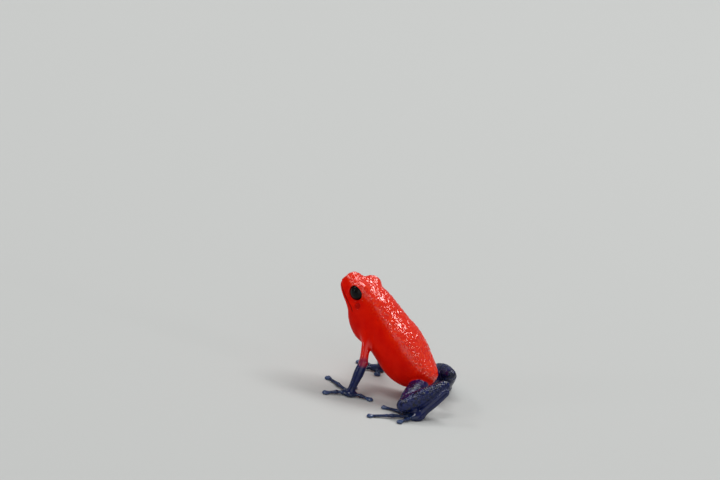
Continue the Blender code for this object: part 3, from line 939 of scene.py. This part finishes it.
def make_skin():
    """One skin over head, torso and limbs."""
    forms = limb_forms()
    low = np.min([form.low for form in forms] + [BODY_LOW], axis=0)
    high = np.max([form.high for form in forms] + [BODY_HIGH], axis=0)
    low[2] = -FLOOR_CELLS * CELL
    grid = Grid(low - (SIDE_CELLS * CELL, SIDE_CELLS * CELL, 0.0), high + MARGIN, CELL)
    fill_body(grid)
    body_values = grid.values.copy()
    add_forms(grid, forms)
    cut_sockets(grid)
    cut_at_floor(grid)
    points, quads = surface_of(grid)
    points = relax(points, quads, grid)

    # Painted shade of mouth, nostrils and lid edges, and of the ears' dishes
    marks = {mark: np.zeros(len(points)) for mark in ("dark", "ear")}
    near = nearness(points, grid.sample(points, body_values), forms)
    lift = face_relief(points, marks) + skin_relief(points, near, marks)
    color_marks(points, near, marks)
    lift *= smooth_step(*RELIEF_START, points[:, 2])
    points = points + normals_of(points, quads) * lift[:, None]
    points[:, 2] = np.maximum(points[:, 2], 0.0)

    mesh = bpy.data.meshes.new("skin")
    mesh.from_pydata(in_frame(points), [], quads.tolist())
    mesh.shade_smooth()
    for mark, values in marks.items():
        layer = mesh.attributes.new(mark, "FLOAT", "POINT")
        layer.data.foreach_set("value", values.astype(np.float32))
    mesh.materials.append(skin_material())
    skin = add_object("skin", mesh)
    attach(skin, "root")
    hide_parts(*[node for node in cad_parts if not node.startswith("eye")])


def ball_mesh(name, radius, rings=48, sectors=64):
    """A ball whose poles lie on its own Z axis."""
    tilt = np.repeat(np.linspace(0.0, math.pi, rings + 1)[1:-1], sectors)
    turn = np.tile(np.linspace(0.0, 2.0 * math.pi, sectors, endpoint=False), rings - 1)
    points = [np.sin(tilt) * np.cos(turn), np.sin(tilt) * np.sin(turn), np.cos(tilt)]
    points = np.concatenate([np.stack(points, axis=1), [(0.0, 0.0, 1.0), (0.0, 0.0, -1.0)]])
    front = len(points) - 2
    back = len(points) - 1
    last = (rings - 2) * sectors
    faces = []
    for column in range(sectors):
        after = (column + 1) % sectors
        faces.append((front, column, after))
        faces.append((back, last + after, last + column))
        for start in range(0, last, sectors):
            ahead = start + sectors
            faces.append((start + column, ahead + column, ahead + after, start + after))
    mesh = bpy.data.meshes.new(name)
    mesh.from_pydata(points * radius, [], faces)
    mesh.shade_smooth()
    return mesh


def make_eyes():
    """A glossy ball for each eye, its own Z axis where the eye looks."""
    for eye in EYES:
        ball = add_object(eye.name + "_ball", ball_mesh(eye.name + "_ball", EYE_RADIUS * MM))
        side = np.cross(eye.aim, eye.along)
        axes = Matrix((Vector(eye.along), Vector(side), Vector(eye.aim))).transposed()
        ball.matrix_world = Matrix.Translation(Vector(in_frame(eye.centre))) @ axes.to_4x4()
        ball.data.materials.append(eye_material())
        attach(ball, "root")
        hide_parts(eye.name)


# Materials


def color(red, green, blue):
    """A screen colour of 0 to 255 as linear light."""
    parts = []
    for part in (red, green, blue):
        part = part / 255.0
        parts.append(part / 12.92 if part <= 0.04045 else ((part + 0.055) / 1.055) ** 2.4)
    return (*parts, 1.0)


class Finish:
    """A material and short ways to add its nodes, whose patterns are laid out in millimetres."""

    def __init__(self, name):
        self.material = bpy.data.materials.new(name)
        self.material.use_nodes = True
        self.tree = self.material.node_tree
        self.shader = self.tree.nodes["Principled BSDF"]
        place = self.node("ShaderNodeTexCoord")
        scale = self.node("ShaderNodeVectorMath", operation="SCALE")
        scale.inputs["Scale"].default_value = 1.0 / MM
        self.link(place.outputs["Object"], scale.inputs[0])
        self.place = scale.outputs["Vector"]

    def node(self, kind, **settings):
        node = self.tree.nodes.new(kind)
        for name, value in settings.items():
            setattr(node, name, value)
        return node

    def link(self, output, socket):
        self.tree.links.new(output, socket)

    def give(self, socket, value):
        """Links an output to a socket, or sets a plain value on it."""
        if isinstance(value, bpy.types.NodeSocket):
            self.link(value, socket)
        else:
            socket.default_value = value

    def set(self, **values):
        for name, value in values.items():
            self.give(self.shader.inputs[name.replace("_", " ")], value)

    def mark(self, name):
        """One of the marks that are stored on the skin's points."""
        return self.node("ShaderNodeAttribute", attribute_name=name).outputs["Fac"]

    def noise(self, scale, detail):
        """Soft noise with the given number of cells to a millimetre."""
        node = self.node("ShaderNodeTexNoise")
        self.link(self.place, node.inputs["Vector"])
        node.inputs["Scale"].default_value = scale
        node.inputs["Detail"].default_value = detail
        return node.outputs["Fac"]

    def cells(self, scale):
        """Distance from the middle of round cells packed side by side."""
        node = self.node("ShaderNodeTexVoronoi")
        self.link(self.place, node.inputs["Vector"])
        node.inputs["Scale"].default_value = scale
        return node.outputs["Distance"]

    def math(self, operation, first, second=0.0):
        node = self.node("ShaderNodeMath", operation=operation)
        self.give(node.inputs[0], first)
        self.give(node.inputs[1], second)
        return node.outputs["Value"]

    def times(self, first, second):
        return self.math("MULTIPLY", first, second)

    def plus(self, first, second):
        return self.math("ADD", first, second)

    def ramp(self, value, low, high):
        """0 below low and 1 above high, with a soft step between."""
        node = self.node("ShaderNodeMapRange", interpolation_type="SMOOTHSTEP")
        self.link(value, node.inputs["Value"])
        node.inputs["From Min"].default_value = low
        node.inputs["From Max"].default_value = high
        return node.outputs["Result"]

    def mix(self, share, first, second):
        node = self.node("ShaderNodeMix", data_type="RGBA")
        self.give(node.inputs[0], share)
        self.give(node.inputs[6], first)
        self.give(node.inputs[7], second)
        return node.outputs[2]


# Colours of the skin; a pair is mixed by a pattern
FLANK_RED = (color(214, 12, 2), color(228, 24, 3))
BACK_RED = (color(222, 20, 2), color(236, 52, 4))
SPECK_RED = color(74, 4, 8)
# Painted shade in the ear's dish
EAR_SHADE_RED = color(92, 8, 8)
MOTTLED_BLUE = (color(5, 10, 38), color(13, 26, 82))
EVEN_BLUE = (color(8, 17, 58), color(14, 27, 82))
FLUSH_VIOLET = color(50, 22, 108)
HAND_BLUE = (color(14, 26, 60), color(36, 54, 96))
TIP_BLUE = color(74, 94, 134)
# Painted shade in the mouth's groove, the nostrils and round the lids' openings
CREASE_PAINTED_SHADE = color(24, 2, 4)

# Colour of the floor, in linear light
FLOOR_GREY = (0.52, 0.53, 0.52, 1.0)

# How strongly each mark shows
SPECK_SHOWS = 0.55
EAR_SHADE_SHOWS = 0.45
FLUSH_SHOWS = 0.30
TIP_SHOWS = 0.6
PALE_SHOWS = 0.85
# Strength of the painted shade in mouth, nostrils and lid edges
PAINTED_SHADE_SHOWS = 0.9

# Patterns of the skin: cells to a millimetre and detail
BLOTCH_PATTERN = (0.55, 3.0)
GRIT_PATTERN = (3.2, 3.0)
LONE_PATTERN = (1.4, 1.0)
MOTTLE_PATTERN = (2.3, 3.0)
PORE_PATTERN = (5.5, 3.0)
SPECK_CELLS = 1.5
PORE_CELLS = 7.0

# Spans of a pattern over which one colour turns into the next
FLANK_SPAN = (0.30, 0.75)
BACK_SPAN = (0.35, 0.70)
LONE_SPAN = (0.50, 0.56)
SPECK_SPAN = (0.14, 0.24)
MOTTLE_SPAN = (0.40, 0.62)
EVEN_SPAN = (0.30, 0.70)
HAND_SPAN = (0.35, 0.65)

# Shares of the patterns that are added up, and strength and height of the finest relief
BLOTCH_SHARE = 0.35
MOTTLE_SHARE = 0.65
PORE_SHARE = 0.6
PORE_CELL_SHARE = 0.4
BUMP_STRENGTH = 0.25
BUMP_MM = 0.02

# Wetness: where the back's coat starts and ends, its share on blue skin, its most and its least
WET_BACK_RANGE = (0.45, 1.0)
WET_BLUE = 0.60
WET_MOST = 0.92
WET_LEAST = 0.03

# Eyes: half-sizes of the pupil, in millimetres, the iris's pattern, spans and colours
PUPIL_HALF_LENGTH = 0.62
PUPIL_HALF_HEIGHT = 0.46
IRIS_PATTERN = (6.0, 4.0)
IRIS_SPAN = (0.35, 0.7)
IRIS_EDGE_SPAN = (1.5, 2.0)
PUPIL_SPAN = (0.95, 1.05)
IRIS_BROWN = (color(8, 6, 6), color(24, 15, 11))
IRIS_EDGE = color(6, 6, 10)
PUPIL_BLACK = color(2, 2, 4)


def red_skin(skin, blotch, grit):
    """Scarlet, brighter on the back, with lone dark specks there and faint painted shade in the
    ears.
    """
    flank = skin.mix(skin.ramp(blotch, *FLANK_SPAN), *FLANK_RED)
    back = skin.mix(skin.ramp(grit, *BACK_SPAN), *BACK_RED)
    red = skin.mix(skin.mark("dorsal"), flank, back)
    lone = skin.ramp(skin.noise(*LONE_PATTERN), *LONE_SPAN)
    speck = skin.math("SUBTRACT", 1.0, skin.ramp(skin.cells(SPECK_CELLS), *SPECK_SPAN))
    speck = skin.times(skin.times(speck, lone), skin.mark("dorsal"))
    red = skin.mix(skin.times(speck, SPECK_SHOWS), red, SPECK_RED)
    # Faint painted shade in the ear's dish
    return skin.mix(skin.times(skin.mark("ear"), EAR_SHADE_SHOWS), red, EAR_SHADE_RED)


def blue_skin(skin, blotch, grit):
    """Mottled dark blue, even on forearm and tarsus, violet near the body, pale on the digits."""
    mottle = skin.times(skin.noise(*MOTTLE_PATTERN), MOTTLE_SHARE)
    patch = skin.plus(skin.times(blotch, BLOTCH_SHARE), mottle)
    mottled = skin.mix(skin.ramp(patch, *MOTTLE_SPAN), *MOTTLED_BLUE)
    even = skin.mix(skin.ramp(patch, *EVEN_SPAN), *EVEN_BLUE)
    navy = skin.mix(skin.mark("smooth"), mottled, even)
    violet = skin.mix(skin.times(skin.mark("flush"), FLUSH_SHOWS), navy, FLUSH_VIOLET)
    hand = skin.mix(skin.ramp(grit, *HAND_SPAN), *HAND_BLUE)
    tip = skin.mix(skin.times(skin.mark("tip"), TIP_SHOWS), hand, TIP_BLUE)
    return skin.mix(skin.times(skin.mark("pale"), PALE_SHOWS), violet, tip)


def skin_material():
    skin = Finish("skin")
    blotch = skin.noise(*BLOTCH_PATTERN)
    grit = skin.noise(*GRIT_PATTERN)
    red = red_skin(skin, blotch, grit)
    blue = blue_skin(skin, blotch, grit)
    both = skin.mix(skin.mark("blue"), red, blue)
    # Painted shade in the mouth's groove, the nostrils and round the lids' openings
    both = skin.mix(skin.times(skin.mark("dark"), PAINTED_SHADE_SHOWS), both, CREASE_PAINTED_SHADE)
    skin.set(Base_Color=both, Roughness=0.5, Specular_IOR_Level=0.02)

    wet = skin.math("MAXIMUM", skin.ramp(skin.mark("dorsal"), *WET_BACK_RANGE), skin.mark("arm"))
    wet = skin.math("MAXIMUM", wet, skin.times(skin.mark("blue"), WET_BLUE))
    skin.set(Coat_Weight=skin.plus(skin.times(wet, WET_MOST), WET_LEAST))
    skin.set(Coat_Roughness=0.06, Coat_IOR=1.6)

    pores = skin.times(skin.noise(*PORE_PATTERN), PORE_SHARE)
    relief = skin.plus(pores, skin.times(skin.cells(PORE_CELLS), PORE_CELL_SHARE))
    bump = skin.node("ShaderNodeBump")
    bump.inputs["Strength"].default_value = BUMP_STRENGTH
    bump.inputs["Distance"].default_value = BUMP_MM * MM
    skin.link(relief, bump.inputs["Height"])
    skin.link(bump.outputs["Normal"], skin.shader.inputs["Normal"])
    skin.link(bump.outputs["Normal"], skin.shader.inputs["Coat Normal"])
    return skin.material


def eye_material():
    """Near black, with a pupil that can just be told from the dark brown iris."""
    eye = Finish("eye")
    split = eye.node("ShaderNodeSeparateXYZ")
    eye.link(eye.place, split.inputs["Vector"])
    along = eye.math("DIVIDE", split.outputs["X"], PUPIL_HALF_LENGTH)
    over = eye.math("DIVIDE", split.outputs["Y"], PUPIL_HALF_HEIGHT)
    reach = eye.math("SQRT", eye.plus(eye.times(along, along), eye.times(over, over)))
    iris = eye.mix(eye.ramp(eye.noise(*IRIS_PATTERN), *IRIS_SPAN), *IRIS_BROWN)
    edge = eye.mix(eye.ramp(reach, *IRIS_EDGE_SPAN), iris, IRIS_EDGE)
    pupil = eye.mix(eye.ramp(reach, *PUPIL_SPAN), PUPIL_BLACK, edge)
    eye.set(Base_Color=pupil, Roughness=0.3, Specular_IOR_Level=0.0)
    eye.set(Coat_Weight=0.5, Coat_Roughness=0.02, Coat_IOR=1.38)
    return eye.material


def floor_material():
    floor = Finish("floor")
    floor.set(Base_Color=FLOOR_GREY, Roughness=0.8, Specular_IOR_Level=0.1)
    return floor.material


# Studio

# Half the floor's side and the height that the lights aim at, in metres
FLOOR_HALF = 1.5
AIM_HEIGHT = 0.008
WORLD_STRENGTH = 0.20

# Rectangles of light: name, place, width and length in metres, and power in watts
LIGHTS = [
    ("sky", (-0.50, 0.06, 0.82), 0.18, 0.90, 6.2),
    ("overhead", (0.25, -0.15, 1.05), 0.36, 0.36, 2.6),
    ("window", (0.05, -0.80, 0.72), 0.34, 0.10, 1.3),
    ("near_strip", (0.75, -0.71, 0.32), 0.50, 0.04, 0.8),
    ("rear_strip", (-0.12, 0.98, 0.36), 0.05, 0.40, 0.6),
    ("side", (0.90, 0.75, 0.55), 1.30, 1.30, 4.2),
]


def make_camera():
    """The photograph's camera, placed so that the vent falls where the photo has it."""
    back = Vector((
        math.sin(CAMERA_AZIMUTH) * math.cos(CAMERA_ELEVATION),
        -math.cos(CAMERA_AZIMUTH) * math.cos(CAMERA_ELEVATION),
        math.sin(CAMERA_ELEVATION),
    ))
    right = Vector((0.0, 0.0, 1.0)).cross(back).normalized()
    turn = Matrix.Rotation(CAMERA_ROLL, 3, back)
    right = turn @ right
    up = back.cross(right)
    distance = LENS_MM / SENSOR_MM * FRAME_PX[0] / PX_PER_MM * MM
    shift_right = (VENT_PX[0] - FRAME_PX[0] / 2.0) / PX_PER_MM * MM
    shift_up = (FRAME_PX[1] / 2.0 - VENT_PX[1]) / PX_PER_MM * MM
    vent = Vector(in_frame(VENT_MM))
    place = vent - right * shift_right - up * shift_up + back * distance
    data = bpy.data.cameras.new("photo_camera")
    data.lens = LENS_MM
    data.sensor_width = SENSOR_MM
    data.clip_start = 0.01
    data.clip_end = 10.0
    camera = add_object("photo_camera", data)
    axes = Matrix((right, up, back)).transposed().to_4x4()
    camera.matrix_world = Matrix.Translation(place) @ axes
    bpy.context.scene.camera = camera


def make_floor():
    mesh = bpy.data.meshes.new("floor")
    signs = ((-1.0, -1.0), (1.0, -1.0), (1.0, 1.0), (-1.0, 1.0))
    corners = [(x * FLOOR_HALF, y * FLOOR_HALF, 0.0) for x, y in signs]
    mesh.from_pydata(corners, [], [(0, 1, 2, 3)])
    mesh.materials.append(floor_material())
    add_object("floor", mesh)


def make_light(name, place, width, length, energy):
    """A soft rectangle of light aimed at the frog; its width lies across the frog's length."""
    data = bpy.data.lights.new(name, "AREA")
    data.shape = "RECTANGLE"
    data.size = width
    data.size_y = length
    data.energy = energy
    light = add_object(name, data)
    back = (Vector(place) - Vector((0.0, 0.0, AIM_HEIGHT))).normalized()
    right = Vector((0.0, 1.0, 0.0)).cross(back).normalized()
    axes = Matrix((right, back.cross(right), back)).transposed().to_4x4()
    light.matrix_world = Matrix.Translation(place) @ axes


def make_lights():
    scene = bpy.context.scene
    scene.view_settings.view_transform = "Standard"
    studio = bpy.data.worlds.new("studio")
    scene.world = studio
    studio.use_nodes = True
    background = studio.node_tree.nodes["Background"]
    background.inputs["Color"].default_value = (1.0, 1.0, 1.0, 1.0)
    background.inputs["Strength"].default_value = WORLD_STRENGTH
    for light in LIGHTS:
        make_light(*light)


make_camera()
make_floor()
make_lights()
make_skin()
make_eyes()
